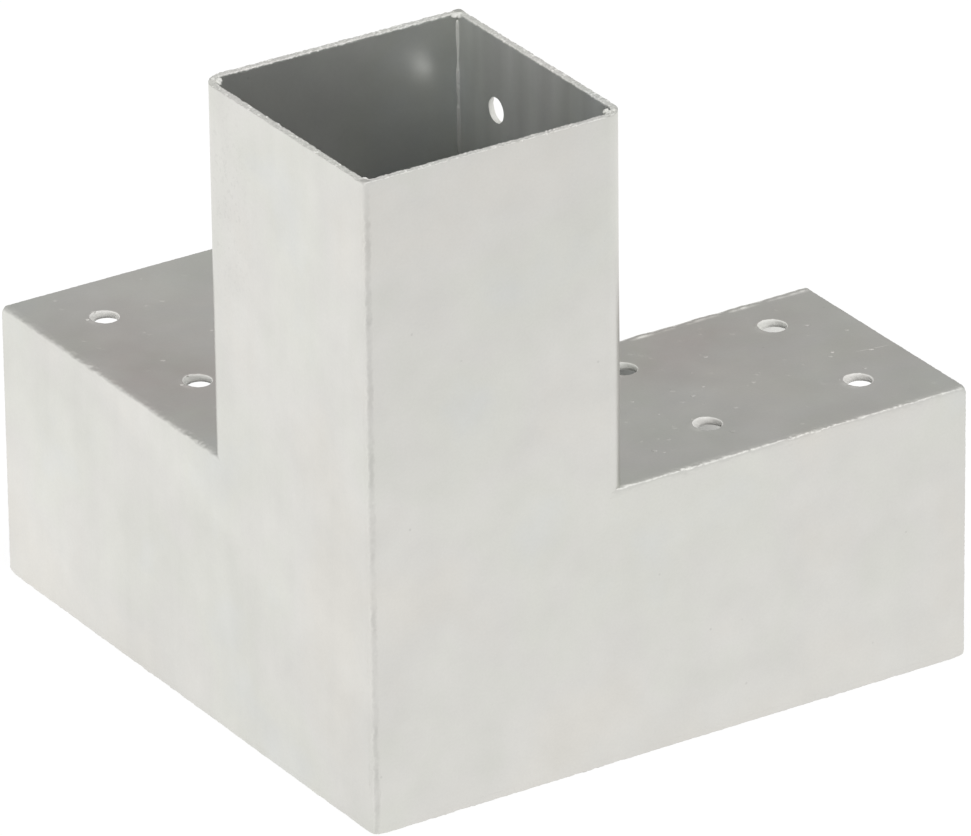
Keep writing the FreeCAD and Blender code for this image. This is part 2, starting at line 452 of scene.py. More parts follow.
def hole_ring(hole, radius):
    """Points round a hole, in the pattern."""
    angles = np.arange(HOLE_POINTS) * 2 * pi / HOLE_POINTS
    return hole + radius * np.stack([np.cos(angles), np.sin(angles)], axis=1)


def edge_inset(depth):
    """How far back a cut edge's soft corners lie, at a depth in the sheet."""
    near = min(depth, SHEET - depth, EDGE_ROUND)
    return EDGE_ROUND - (EDGE_ROUND ** 2 - (EDGE_ROUND - near) ** 2) ** 0.5


def skin_depth(u, v, seed):
    """How far a coated skin lies below the bare sheet's face."""
    return SKIN_LOW + SKIN_WAVE * (0.5 + 0.5 * wave((u, v, 0), SKIN_WAVE_SIZE, seed))


def fold_ridge(u, v, seed):
    """Height of the broken ridge along a leg's fold."""
    crest = LEG_FLAT + RIDGE_CREST + layer((v, 0, 0), RIDGE_WANDER, seed + 8)
    width = RIDGE_WIDTHS[0] if u < crest else RIDGE_WIDTHS[1]
    return FOLD_RIDGE * patchy((v, 0, 0), *RIDGE_BREAKS, seed + 9) * exp(-((u - crest) / width) ** 2)


def cut_edge(draft, outline, sides, place, seed):
    """Loops of points through a plate's edge: rounded, and ragged with zinc where it is free."""
    loops = []
    for share in EDGE_SHARES:
        loop = []
        for (u, v), side in zip(outline, sides):
            depth = SKIN_LOW + (SHEET - 2 * SKIN_LOW) * share
            back = 0.0
            if side.any():
                wear = RIM_WEAR if v > RIM - ON_EDGE else MOUTH_WEAR
                back = edge_inset(depth) + wear * patchy((u, v, depth), *EDGE_RAGGED, seed + 2)
                depth += wear * layer((u, v, depth), EDGE_STIR, seed + 4) * sin(pi * share)
            loop.append(draft.point(place(u + side[0] * back, v + side[1] * back, depth)))
        loops.append(loop)
    return loops


def hole_edge(draft, hole, radius, place, burr_way, seed, number):
    """Loops of points round a hole: rolled in at the skin, a burr on one side, a wall that narrows."""
    loops = []
    for out, depth, share in HOLE_SECTION:
        loop = []
        for u, v in hole_ring(hole, radius + out):
            away = (Vector((u, v)) - Vector(hole)).normalized()
            burr = BURR_MEAN + BURR_SIDED * away.dot(burr_way)
            burr += layer((u, v, 0), BURR_LUMPS, seed + 5 + number)
            burr += layer((u, v, depth), BURR_GRAIN, seed + 7)
            shift = away * layer((u, v, depth / 2), WALL_WANDER, seed + 6)
            shift -= burr_way * HOLE_LEAN * depth / SHEET
            sunk = SKIN_LOW + depth - LIP_HEIGHT * share * max(0.0, burr)
            loop.append(draft.point(place(u + shift.x, v + shift.y, sunk)))
        loops.append(loop)
    return loops


def sheet_piece(name, node, corners, mouths, place, seed, materials, holes=(), hole_radius=0.0,
                fold=None, ridge=False, burr_way=(1, 0)):
    """One plate, built from its flat pattern. Its fold is where it starts, ends and stands."""
    outline = trace(corners, mouths)
    sides = np.array([free_side(u, v, mouths) for u, v in outline], float)
    skin_loop = outline + sides * EDGE_ROUND
    hole_reach = hole_radius + HOLE_APRON
    rings = [hole_ring(hole, hole_reach) for hole in holes]
    inner = pattern_points(outline, sides, holes, hole_reach, fold, ridge)
    points, triangles, number_of = triangulate([skin_loop, *rings], inner)
    draft = Draft()

    def skin(u, v, weld_gap):
        """Depth of the outer skin, a gap from the nearest weld."""
        share = min(1.0, weld_gap / SKIN_BLEND)
        depth = SKIN_EDGE + (skin_depth(u, v, seed) - SKIN_EDGE) * share * share * (3 - 2 * share)
        return depth - fold_ridge(u, v, seed) if ridge else depth

    weld_gaps = distance_to(points, outline[~sides.any(axis=1)])
    outer = [draft.point(place(u, v, skin(u, v, gap))) for (u, v), gap in zip(points, weld_gaps)]
    inside = [draft.point(place(u, v, SHEET - SKIN_LOW)) for u, v in points]
    for corners_of in triangles:
        draft.face([outer[k] for k in corners_of])
        draft.face([inside[k] for k in reversed(corners_of)], INSIDE)

    def skin_row(skin_points, first, size):
        """Vertex numbers of a skin along the outline or a ring."""
        return [skin_points[number_of[first + k]] for k in range(size)]

    size = len(outline)
    wall = cut_edge(draft, outline, sides, place, seed)
    loops = [skin_row(outer, 0, size), *wall, skin_row(inside, 0, size)]
    draft.stitch(loops[:EDGE_SKIN + 1])
    draft.stitch(loops[EDGE_SKIN:], CUT)
    for number, hole in enumerate(holes):
        first = size + number * HOLE_POINTS
        wall = hole_edge(draft, hole, hole_radius, place, Vector(burr_way), seed, number)
        loops = [skin_row(outer, first, HOLE_POINTS), *wall]
        draft.stitch(loops[:HOLE_WALL + 1])
        draft.stitch(loops[HOLE_WALL:], PUNCHED)
        draft.stitch([loops[-1], skin_row(inside, first, HOLE_POINTS)], INSIDE)
    used = materials if holes else materials[:PUNCHED]
    new_piece(name, draft, used, [node])


def bolt_holes(mount_name):
    """Centres of a bolt pattern's holes in millimetres, and their radius."""
    mount = next(m for m in frame["record"]["mounts"] if m["name"] == mount_name)
    dims = mount["dims"]
    centre = Vector(mount["pos_m"]) / MM
    is_level = abs(mount["axis"][2]) > 0.5
    first, second = ((1, 0, 0), (0, 1, 0)) if is_level else ((0, 1, 0), (0, 0, 1))
    wide = Vector(first) * dims["spacing_x_mm"] / 2
    tall = Vector(second) * dims["spacing_y_mm"] / 2
    places = [centre + wide * a + tall * b for a in (-1, 1) for b in (-1, 1)]
    return places, dims["hole_r_mm"]


def folded(u, start, depth):
    """Reach past a fold's start and drop below the flat before it, at u along the sheet."""
    turn = (u - start) / BEND
    if turn <= 0:
        return u - start, depth
    if turn < pi / 2:
        return (BEND - depth) * sin(turn), BEND - (BEND - depth) * cos(turn)
    return BEND - depth, BEND + u - start - FOLD_LENGTH


def face_place(u, v, depth):
    """The right face plate: flat below, folded round the upright's corner above the leg."""
    if v <= LEDGE:
        return u, LOW + depth, v
    reach, drop = folded(u, FOLD_START, depth)
    return FOLD_START + reach, LOW + drop, v


def build_face_plates(materials):
    """The two long outer faces, with holes in the right one's folded arm.

    In the flat pattern that arm lies beside the leg's face, across a saw cut.
    """
    arm = FOLD_START + FOLD_LENGTH - (LOW + BEND)
    arm_end = arm + INNER_EDGE
    corners = [
        (OUTER_EDGE, SHEET), (MOUTH, SHEET), (MOUTH, LEDGE), (FOLD_START, LEDGE),
        (FOLD_START, LEDGE + SLIT), (arm_end, LEDGE + SLIT), (arm_end, RIM), (OUTER_EDGE, RIM),
    ]
    mouths = (MOUTH, RIM)
    places, radius = bolt_holes("upright_screws")
    holes = [np.array((place.y + arm, place.z)) for place in places]
    fold = (FOLD_START - FOLD_MARGIN, FOLD_START + FOLD_LENGTH + FOLD_MARGIN, LEDGE + FOLD_MARGIN)
    sheet_piece("right_face_sheet", "right_face_plate", corners, mouths, face_place, 1, materials,
                holes, radius, fold)
    sheet_piece("left_face_sheet", "left_face_plate", corners, mouths, swapped(face_place), 11, materials,
                fold=fold)


def angle_place(u, v, depth):
    """The right leg's angle, u across its top and down its wall and v along it."""
    reach, drop = folded(u, LEG_FLAT, depth)
    return v, FOLD_START + reach, TOP - drop


def build_leg_angles(materials):
    """The top plate and inner wall of each leg, scribed to the upright's fold."""
    across = LEG_FLAT + FOLD_LENGTH + TOP - BEND - SHEET
    reach = BEND - TUCK
    scribed = [(u, FOLD_START + (reach ** 2 - (BEND - SHEET - u) ** 2) ** 0.5) for u in SCRIBE]
    corners = [*scribed, (across, HIGH - TUCK), (across, MOUTH), (0, MOUTH)]
    mouths = (inf, MOUTH)
    fold = (LEG_FLAT - RIDGE_BAND / 2, LEG_FLAT + FOLD_LENGTH + FOLD_MARGIN, HIGH)
    for leg, axis, place, seed, burr_way in (
            ("right_leg", 0, angle_place, RIGHT_LEG_SEED, BURR_WAY[::-1]),
            ("left_leg", 1, swapped(angle_place), LEFT_LEG_SEED, BURR_WAY)):
        spots, radius = bolt_holes(leg + "_screws")
        holes = [np.array((spot[1 - axis] - OUTER_EDGE, spot[axis])) for spot in spots]
        sheet_piece(leg + "_sheet", leg + "_angle", corners, mouths, place, seed, materials,
                    holes, radius, fold, True, burr_way)


def build_base(materials):
    """The L-shaped base plate."""
    corners = [
        (OUTER_EDGE, OUTER_EDGE), (MOUTH, OUTER_EDGE), (MOUTH, INNER_EDGE),
        (INNER_EDGE, INNER_EDGE), (INNER_EDGE, MOUTH), (OUTER_EDGE, MOUTH),
    ]
    sheet_piece("base_sheet", "base_plate", corners, (MOUTH, MOUTH), lambda u, v, depth: (u, v, depth),
                41, materials)


# Weld pieces: a lumpy bead swept along a seam

def arc_share(angle):
    """How much of the lumps a point on a bead's arc takes: less near the toes."""
    return TOE_SHARE + (1 - TOE_SHARE) * sin(2 * angle)


def corner_section(near_end):
    """A full corner between plate edges, its toes under the plates' skins.

    Each point is its reach to the seam's two sides and its share of the lumps.
    Nearness to a free end, from 0 to 1, makes the section rounder.
    """
    fullness = CORNER_FULLNESS + (END_FULLNESS - CORNER_FULLNESS) * near_end
    toe = [(SHEET - short, depth, give) for short, depth, give in CORNER_TOE]
    arc = []
    for k in range(BEAD_SIDES + 1):
        angle = k / BEAD_SIDES * pi / 2
        c, s = cos(angle), sin(angle)
        reach = (SHEET - CORNER_SHY) / (c ** fullness + s ** fullness) ** (1 / fullness)
        arc.append((reach * c, reach * s, arc_share(angle)))
    return toe + arc + [(b, a, give) for a, b, give in reversed(toe)]


def fillet_section(leg):
    """A crowned fillet in an inside corner, its toes under the plates' skins."""
    past, depth, give = FILLET_TOE
    points = [(leg + past, depth, give)]
    crown = leg * FILLET_CROWN
    for k in range(BEAD_SIDES + 1):
        share = k / BEAD_SIDES
        angle = share * pi / 2
        round_share = sin(2 * angle)
        a = leg * (1 - share) * (1 - round_share) + crown * cos(angle) * round_share
        b = leg * share * (1 - round_share) + crown * sin(angle) * round_share
        points.append((a, b, arc_share(angle)))
    return [*points, (depth, leg + past, give)]


class End(NamedTuple):
    """How a bead ends: over a length it shrinks to a least share, and it may grow round."""
    length: float
    least: float
    is_round: bool = False

    def size(self, gap):
        """Share of its size that the bead keeps, a gap from this end."""
        if gap >= self.length:
            return 1.0
        return self.least + (1 - self.least) * (1 - (1 - gap / self.length) ** 2) ** 0.5

    def roundness(self, gap):
        """How round the section is, a gap from this end."""
        return max(0.0, 1 - gap / ROUND_REACH) if self.is_round else 0.0


BUTT_END = End(0.0, 1.0)  # against another piece
MOUTH_END = End(EDGE_ROUND, 1 - EDGE_ROUND / SHEET, True)  # flush with the plates' cut edges
RIM_END = End(0.4, 0.8)
TIP_END = End(TIP_ROUND, 0.2, True)  # at the front corner of the base
FOOT_END = End(1.2, 0.93)  # coming out from under the upright's fold
FILLET_END = End(1.5, 0.25)
LONG_END = End(5.0, 0.12)


def bead_piece(name, line, sides, section, lumps, seed, metal, nodes, ends, knots=(), ripple=0.0, thin=0.0):
    """A bead along a line, with lumps, knots at given distances, ripples and thin breaks."""
    start, end, first, second = (Vector(place) for place in [*line, *sides])
    length = (end - start).length
    along = np.linspace(0, length, round(length / BEAD_STEP) + 1)
    along = np.sort(np.concatenate([along, END_ROWS, length - np.array(END_ROWS)]))
    draft = Draft()
    rings = []
    for gap in along:
        root = start.lerp(end, gap / length)
        taper = ends[0].size(gap) * ends[1].size(length - gap)
        taper *= 1 - thin * patchy((gap, 0, 0), *RUN_BREAKS, seed + 4)
        rough = lumps[0] + lumps[1] * max(0.0, wave((gap, 0, 0), ROUGH_SIZE, seed + 2))
        rough += sum(KNOT * exp(-((gap - knot) / KNOT_WIDTH) ** 2) for knot in knots)
        ring = [draft.point(root)]
        for a, b, give in section(max(ends[0].roundness(gap), ends[1].roundness(length - gap))):
            spot = root + first * a + second * b
            swell = sum(layer(spot, kind, seed + k) for k, kind in enumerate(BEAD_SWELL))
            pulse = ripple * cos(2 * pi * gap / RIPPLE_PITCH + layer(spot, RIPPLE_DRIFT, seed + 3))
            size = taper * (1 + give * (rough * swell + pulse) / SHEET)
            ring.append(draft.point(root + (first * a + second * b) * size))
        rings.append(ring)
    draft.stitch(rings)
    draft.face(rings[0])
    draft.face(reversed(rings[-1]))
    new_piece(name + "_bead", draft, [metal], nodes)


def build_welds(plain, seam, run):
    """All the seams, and the run of metal in the back corner."""
    left, front, down = (-1, 0, 0), (0, -1, 0), (0, 0, -1)
    right, back, up = (1, 0, 0), (0, 1, 0), (0, 0, 1)

    def corner(name, line, sides, lumps, seed, ends, metal=plain, knots=()):
        """A corner weld that stands for its CAD node."""
        bead_piece(name, line, sides, corner_section, lumps, seed, metal, [name + "_weld"], ends, knots)

    def fillet(name, line, sides, lumps, seed, ends):
        """A rippled fillet weld that stands for its CAD node."""
        bead_piece(name, line, sides, lambda near_end: fillet_section(FILLET), lumps, seed, plain,
                   [name + "_weld"], ends, ripple=RIPPLE)

    def both_legs(weld, name, line, sides, lumps, seed, ends, left_lumps=None):
        """A weld on the right leg and its twin on the left."""
        weld("right_" + name, line, sides, lumps, seed, ends)
        weld("left_" + name, mirrored(line), mirrored(sides), left_lumps or lumps, seed + 2, ends)

    corner("front_corner", [(OUTER_EDGE, OUTER_EDGE, TIP_GAP), (OUTER_EDGE, OUTER_EDGE, RIM)],
           [left, front], FRONT_LUMPS, 51, (TIP_END, RIM_END), seam, FRONT_KNOTS)
    both_legs(corner, "base", [(LOW + TIP_GAP, OUTER_EDGE, SHEET), (MOUTH, OUTER_EDGE, SHEET)],
              [front, down], BASE_LUMPS, 53, (TIP_END, MOUTH_END))
    both_legs(corner, "top", [(FOLD_START, OUTER_EDGE, LEDGE), (MOUTH, OUTER_EDGE, LEDGE)],
              [front, up], TOP_LUMPS[0], 57, (FOOT_END, MOUTH_END), TOP_LUMPS[1])
    corner("back_corner", [(INNER_EDGE, INNER_EDGE, 0), (INNER_EDGE, INNER_EDGE, RIM)],
           [right, back], BACK_LUMPS, 61, (BUTT_END, RIM_END))
    both_legs(corner, "inner_base", [(HIGH, INNER_EDGE, SHEET), (MOUTH, INNER_EDGE, SHEET)],
              [back, down], BASE_LUMPS, 65, (BUTT_END, MOUTH_END))
    fillet("inner_corner", [(HIGH, HIGH, SHEET), (HIGH, HIGH, TOP - BEND)],
           [right, back], FILLET_LUMPS, 63, (BUTT_END, FILLET_END))
    both_legs(fillet, "root", [(HIGH, LOW + BEND, TOP), (HIGH, HIGH - BEND, TOP)],
              [right, up], FILLET_LUMPS, 69, (LONG_END, LONG_END))
    bead_piece("back_root", [(INNER_EDGE, INNER_EDGE, LEDGE), (INNER_EDGE, INNER_EDGE, RIM - 2)],
               [left, front], lambda near_end: fillet_section(RUN_LEG), RUN_LUMPS, 73, run, [],
               (FILLET_END, FILLET_END), RUN_KNOTS, ripple=0.25, thin=0.75)


# Zinc drops that stayed on the metal after the dip

def add_drop(draft, centre, out, radius, height, seed, long_way=None):
    """A low irregular dome with a sunk skirt, which may be drawn out along a way."""
    out = Vector(out).normalized()
    side = Vector(long_way) if long_way else out.orthogonal().normalized() * radius
    other = out.cross(side).normalized() * radius
    rings = []
    for sunk, rise, reach in DROP_SECTION:
        ring = []
        for k in range(DROP_SIDES):
            angle = 2 * pi * k / DROP_SIDES
            place = (cos(angle) * DROP_LOOP, sin(angle) * DROP_LOOP, rise)
            wide = reach * (1 + layer(place, DROP_UNEVEN, seed))
            way = side * cos(angle) + other * sin(angle)
            ring.append(draft.point(Vector(centre) + way * wide + out * (sunk + rise * height)))
        rings.append(ring)
    draft.stitch(rings)
    draft.face(reversed(rings[0]))
    draft.face(rings[-1])


def top_spot(along, across, is_right):
    """A place on the skin of a leg's top plate."""
    seed = RIGHT_LEG_SEED if is_right else LEFT_LEG_SEED
    height = TOP - skin_depth(across - OUTER_EDGE, along, seed)
    return Vector((along, across, height)) if is_right else Vector((across, along, height))


def add_pimples(draft, draws, count, holes, hole_radius, is_right):
    """Small pimples all over a leg's top, clear of its holes."""
    for number in range(count):
        spot = top_spot(draws.uniform(*DROP_ALONG), draws.uniform(*DROP_ACROSS), is_right)
        radius = draws.uniform(0.35, 0.85)
        height = radius * draws.uniform(0.03, 0.13)
        if all((spot - hole).length > hole_radius + HOLE_CLEAR for hole in holes):
            add_drop(draft, spot, UP, radius, height, number)


def add_hole_blobs(draft, draws, holes, hole_radius):
    """A few blobs at the burr of each hole."""
    for hole in holes:
        for k in range(HOLE_BLOBS):
            turn = draws.uniform(-0.8, 0.6)
            gap = draws.uniform(0.2, 0.7)
            radius = draws.uniform(0.35, 0.65)
            spot = hole + (Matrix.Rotation(turn, 2) @ Vector(BURR_WAY)).to_3d() * (hole_radius + gap)
            spot.z = TOP - SKIN_LOW
            add_drop(draft, spot, UP, radius, height=0.45 * radius, seed=200 + k)


def build_top_drops(side, count, draws, metal):
    """Drops on a leg's top, with one bright drop and a scratch on the right one."""
    holes, hole_radius = bolt_holes(side + "_leg_screws")
    is_right = side == "right"
    draft = Draft()
    add_pimples(draft, draws, count, holes, hole_radius, is_right)
    add_hole_blobs(draft, draws, holes, hole_radius)
    if is_right:
        add_drop(draft, top_spot(*BRIGHT_DROP, True), UP, radius=0.5, height=0.15, seed=count)
        start, end = (top_spot(*place, True) for place in SCRATCH)
        add_drop(draft, (start + end) / 2, UP, radius=0.25, height=0.03, seed=count + 1,
                 long_way=(end - start) / 2)
    new_piece(side + "_top_drops", draft, [metal], [])


def add_corner_blobs(draft, draws):
    """Blobs at the rim's corners, which lean inwards at all but the front one."""
    cut = 0.3 * (BEND - SHEET)
    near = OUTER_EDGE + cut
    far = INNER_EDGE - cut
    front = OUTER_EDGE + 0.25
    corners = [(front, front, 0, 0), (near, far, -1, 1), (INNER_EDGE, INNER_EDGE, 1, 1), (far, near, 1, -1)]
    for number, (x, y, way_x, way_y) in enumerate(corners):
        for k in range(CORNER_BLOBS):
            shift_x = draws.uniform(-CORNER_SPREAD, CORNER_SPREAD) - CORNER_PULL * way_x
            shift_y = draws.uniform(-CORNER_SPREAD, CORNER_SPREAD) - CORNER_PULL * way_y
            spot = (x + shift_x, y + shift_y, RIM - 0.45)
            lean = (-CORNER_LEAN * way_x, -CORNER_LEAN * way_y, 1)
            radius = draws.uniform(0.6, 1.05)
            add_drop(draft, spot, lean, radius, height=0.36 * radius, seed=90 + 5 * number + k)


def build_rim_drops(draws, metal):
    """Blobs at the rim's corners and fine specks along its four sides."""
    draft = Draft()
    add_corner_blobs(draft, draws)
    for side in range(4):
        for k in range(RIM_SPECKS):
            along_side = draws.uniform(LOW + BEND, HIGH - BEND)
            across = HIGH - draws.uniform(0.3, SHEET - 0.2)
            spot = Matrix.Rotation(side * pi / 2, 3, "Z") @ Vector((across, along_side, RIM - 0.25))
            radius = draws.uniform(0.16, 0.42)
            add_drop(draft, spot, UP, radius, height=0.6 * radius, seed=300 + RIM_SPECKS * side + k)
    new_piece("rim_drops", draft, [metal], [])


# Nodes that the materials are made of

def empty_tree(owner):
    """The emptied node tree of a new material or world."""
    owner.use_nodes = True
    owner.node_tree.nodes.clear()
    return owner.node_tree


def add_node(tree, kind, inputs=(), **settings):
    """A shader node with its settings and inputs, as constants or sockets to link."""
    made = tree.nodes.new("ShaderNode" + kind)
    for name, value in settings.items():
        setattr(made, name, value)
    for key, value in dict(inputs).items():
        if isinstance(value, bpy.types.NodeSocket):
            tree.links.new(value, made.inputs[key])
        else:
            made.inputs[key].default_value = value
    return made


def calculated(tree, operation, first, second):
    """A value made from two values."""
    return add_node(tree, "Math", {0: first, 1: second}, operation=operation).outputs[0]


def product(tree, first, *others):
    """Values multiplied."""
    for other in others:
        first = calculated(tree, "MULTIPLY", first, other)
    return first


def vectors(tree, operation, first, second=(0, 0, 0), output="Vector"):
    """A vector or a value made from two vectors, or from one."""
    return add_node(tree, "VectorMath", {0: first, 1: second}, operation=operation).outputs[output]


def reach_to(tree, vector, side):
    """How far a vector reaches to one side."""
    return vectors(tree, "DOT_PRODUCT", vector, side, "Value")


def mapped(tree, value, span, levels=UNIT):
    """A value that runs over a span, as a level from the first to the second."""
    return add_node(tree, "MapRange", enumerate([value, *span, *levels])).outputs[0]


def blend(tree, share, first, second):
    """A value from the first to the second by a share."""
    return add_node(tree, "Mix", {0: share, 2: first, 3: second}).outputs[0]


def cloud(tree, place, size_mm, detail, seed, levels=None, stretch=(1, 1, 1)):
    """Soft noise with features of a size, drawn out by a share below 1, over levels if given."""
    mapping = add_node(tree, "Mapping", {
        "Vector": place, "Scale": stretch, "Location": (seed * 1.7, seed * 0.9, seed * 0.4)})
    made = add_node(tree, "TexNoise", {
        "Vector": mapping.outputs[0], "Scale": 1 / (size_mm * MM), "Detail": detail, "Roughness": 0.55})
    value = made.outputs["Fac"]
    return mapped(tree, value, NOISE_SPAN, levels) if levels else value


def ramp(tree, value, stops):
    """A colour ramp through the given (position, colour) stops."""
    made = add_node(tree, "ValToRGB", {"Fac": value})
    elements = made.color_ramp.elements
    while len(elements) < len(stops):
        elements.new(0.5)
    for element, (position, colour) in zip(elements, stops):
        element.position = position
        element.color = (*colour, 1)
    return made.outputs["Color"]


def towards(tree, vector, side, span, levels=UNIT):
    """A level from the first to the second as a vector reaches to one side over a span."""
    return mapped(tree, reach_to(tree, vector, side), span, levels)


# Marks on the zinc, and painted light and shade on it

def pits(tree, place):
    """Small dark pits, in some of the cells of a loose pattern."""
    cells = add_node(tree, "TexVoronoi", {"Vector": place, "Scale": 1 / (PIT_CELL * MM)}).outputs
    dark = mapped(tree, cells["Distance"], (0.025, 0.06), (0.12, 0.0))
    draw = add_node(tree, "SeparateColor", {"Color": cells["Color"]}).outputs[0]
    some = calculated(tree, "GREATER_THAN", draw, 0.55)
    return calculated(tree, "SUBTRACT", 1.0, product(tree, dark, some))


def spot_share(tree, place, centre, reach):
    """One in the middle of a spot, fading to none at its reach."""
    offset = vectors(tree, "SUBTRACT", place, Vector(centre) * MM)
    scaled = vectors(tree, "DIVIDE", offset, Vector(reach) * MM)
    return mapped(tree, vectors(tree, "LENGTH", scaled, output="Value"), (0.2, 1.0), (1.0, 0.0))


def stain_and_shade(tree, place, upward):
    """Brown stains on the legs' tops, which also paint shade towards the upright, and faint green ones
    round them.
    """
    uneven = cloud(tree, place, size_mm=14, detail=3, seed=9, levels=(0.35, 1.15))
    green = product(tree, upward, cloud(tree, place, size_mm=20, detail=3, seed=10, levels=UNIT))
    colour = ramp(tree, green, [(0.4, WHITE), (1.0, GREEN)])
    for centre, reach in STAINS_AND_SHADE:
        brown = product(tree, upward, uneven, spot_share(tree, place, centre, reach))
        tint = ramp(tree, brown, [(0.0, WHITE), (1.0, BROWN)])
        colour = vectors(tree, "MULTIPLY", colour, tint)
    return colour


def painted_sheen(tree, place, across_x, across_y):
    """Painted sheen: broad soft lighter and darker bands that climb the upright faces, one set across X and
    one across Y.
    """
    slant = reach_to(tree, place, BAND_SLANT)
    wander = cloud(tree, place, size_mm=40, detail=2, seed=12, levels=(-9 * MM, 9 * MM))
    height = calculated(tree, "ADD", slant, wander)
    share = mapped(tree, height, (0.0, BAND_SPAN * MM))
    tones = []
    for amount, bands in ((across_x, X_SHEEN_BANDS), (across_y, Y_SHEEN_BANDS)):
        band = ramp(tree, share, [(rise / BAND_SPAN, [tone] * 3) for rise, tone in bands])
        tones.append(blend(tree, amount, 1.0, band))
    return product(tree, *tones)


def specks_and_painted_light(tree, place):
    """Fine dark specks in a patch high on the upright, a nick by its fold, and patches of painted light."""
    noise_value = cloud(tree, place, size_mm=1.2, detail=2, seed=13)
    grain = mapped(tree, noise_value, (0.56, 0.68), (0.0, 0.07))
    depth = product(tree, grain, spot_share(tree, place, *SPECK_PATCH))
    nick = product(tree, spot_share(tree, place, *NICK), 0.5)
    tone = calculated(tree, "SUBTRACT", 1.0, calculated(tree, "ADD", depth, nick))
    for centre, reach in PAINTED_LIGHT_PATCHES:
        painted_patch = product(tree, spot_share(tree, place, centre, reach), PAINTED_LIGHT_LIFT)
        tone = calculated(tree, "ADD", tone, painted_patch)
    return tone


def seam_light_and_shade(tree, place):
    """Painted light and shade across the front seam: a painted highlight on its left and a broken line of
    painted shade on its right.
    """
    across = reach_to(tree, place, (1, -1, 0))
    wander = cloud(tree, place, size_mm=2.5, detail=3, seed=11, levels=(-0.6 * MM, 0.6 * MM))
    gap = calculated(tree, "ADD", across, wander)
    share = mapped(tree, gap, (-SHEET * MM, SHEET * MM))
    line = ramp(tree, share, [(stop, [tone] * 3) for stop, tone in SEAM_SHADE_TONES])
    strength = cloud(tree, place, size_mm=7, detail=4, seed=14, levels=(-0.3, 1.5))
    return blend(tree, strength, 1.0, line)


def deepened(tree, place, deep, level):
    """A low level deep in the sockets, which grows to the given one towards their mouths; as a tone it is
    painted shade.
    """
    span, low = deep
    high = towards(tree, place, (0, 0, 1 / MM), span)
    near = towards(tree, place, (1 / MM, 1 / MM, 0), MOUTH_SPAN)
    return mapped(tree, calculated(tree, "MAXIMUM", high, near), UNIT, (low, level))


def zinc_tone(tree, place, across_x, across_y, streaks, grain):
    """Faint clouds, run marks on faces across X, fine grain, pits and specks, with patches of painted light
    and painted sheen.
    """
    clouds = cloud(tree, place, size_mm=13, detail=5, seed=2, levels=CLOUD_TONES)
    runs = cloud(tree, place, size_mm=9, detail=2, seed=3, levels=streaks, stretch=(1, 1, 0.1))
    runs = blend(tree, across_x, 1.0, runs)
    fine = cloud(tree, place, size_mm=0.7, detail=2, seed=5, levels=(1 - grain, 1 + grain))
    return product(tree, clouds, runs, fine, pits(tree, place), specks_and_painted_light(tree, place),
                   painted_sheen(tree, place, across_x, across_y))


def zinc_bumps(tree, place):
    """Fine grain and soft waves that are too low to model."""
    normal = {}
    for size_mm, detail, seed, rise in ((0.8, 3, 7, 0.03), (6, 2, 8, 0.10)):
        height = cloud(tree, place, size_mm, detail, seed)
        made = add_node(tree, "Bump", {"Height": height, "Strength": 0.3, "Distance": rise * MM, **normal})
        normal = {"Normal": made.outputs[0]}
    return made.outputs[0]


def galvanised(name, colour, metal, dullness, uneven=0.05, streaks=(0.98, 1.02), grain=0.016,
               is_seam=False, deep=None, deep_metal=None, side_metal=None):
    """Hot-dipped zinc, stained on level faces, with painted light and shade.

    Streaks are the tones of run marks on faces across X, and grain is how much the fine grain varies.
    Deep is between which heights inner faces change, and their tone at the lower one, which paints shade
    deep in the sockets.
    Deep_metal is the same for how metallic they are, and side_metal is for those across X.
    """
    material = bpy.data.materials.new(name)
    tree = empty_tree(material)
    place = add_node(tree, "TexCoord").outputs["Object"]
    normal = add_node(tree, "NewGeometry").outputs["Normal"]
    facing = vectors(tree, "ABSOLUTE", normal)
    across_x, across_y, level = add_node(tree, "SeparateXYZ", {0: facing}).outputs
    tints = [(stop, np.multiply(colour, tint)) for stop, tint in FACE_TINTS]
    hue = ramp(tree, cloud(tree, place, size_mm=48, detail=3, seed=1), tints)
    # stains, with painted shade, on the level faces
    stain_and_shade_tint = stain_and_shade(tree, place, upward=mapped(tree, level, (0.8, 0.97)))
    stained_and_shaded = vectors(tree, "MULTIPLY", hue, stain_and_shade_tint)
    tone = zinc_tone(tree, place, across_x, across_y, streaks, grain)
    # painted highlight and shade along the front seam, and painted shade deep in the sockets
    if is_seam:
        tone = product(tree, tone, seam_light_and_shade(tree, place))
    if deep:
        tone = product(tree, tone, deepened(tree, place, deep, 1.0))
    if side_metal:
        metal = mapped(tree, across_x, UNIT, (metal, side_metal))
    if deep_metal:
        metal = deepened(tree, place, deep_metal, metal)
    dull = (dullness - uneven, dullness + uneven)
    rough = cloud(tree, place, size_mm=12, detail=1, seed=6, levels=dull)
    shader = add_node(tree, "BsdfPrincipled", {
        "Metallic": metal, "Base Color": vectors(tree, "MULTIPLY", stained_and_shaded, tone), "Roughness": rough,
        "Normal": zinc_bumps(tree, place)})
    add_node(tree, "OutputMaterial", {"Surface": shader.outputs[0]})
    return material


# The part's materials

def outer_zinc():
    """The outer faces."""
    return galvanised("outer_zinc", (0.735, 0.736, 0.714), metal=1.0, dullness=0.33)


def inner_zinc():
    """The sockets' inner faces, paler than the outer ones to paint light into the sockets, with painted
    shade and less metal in their depth.
    """
    # the pale colour paints light into the sockets, and the deep tone is painted shade
    return galvanised("inner_zinc", (0.846, 0.858, 0.846), metal=0.88, dullness=0.30, uneven=0.015,
                      streaks=(0.88, 1.14), deep=((104, 152), 0.62), deep_metal=((40, 115), 0.5),
                      side_metal=0.7)


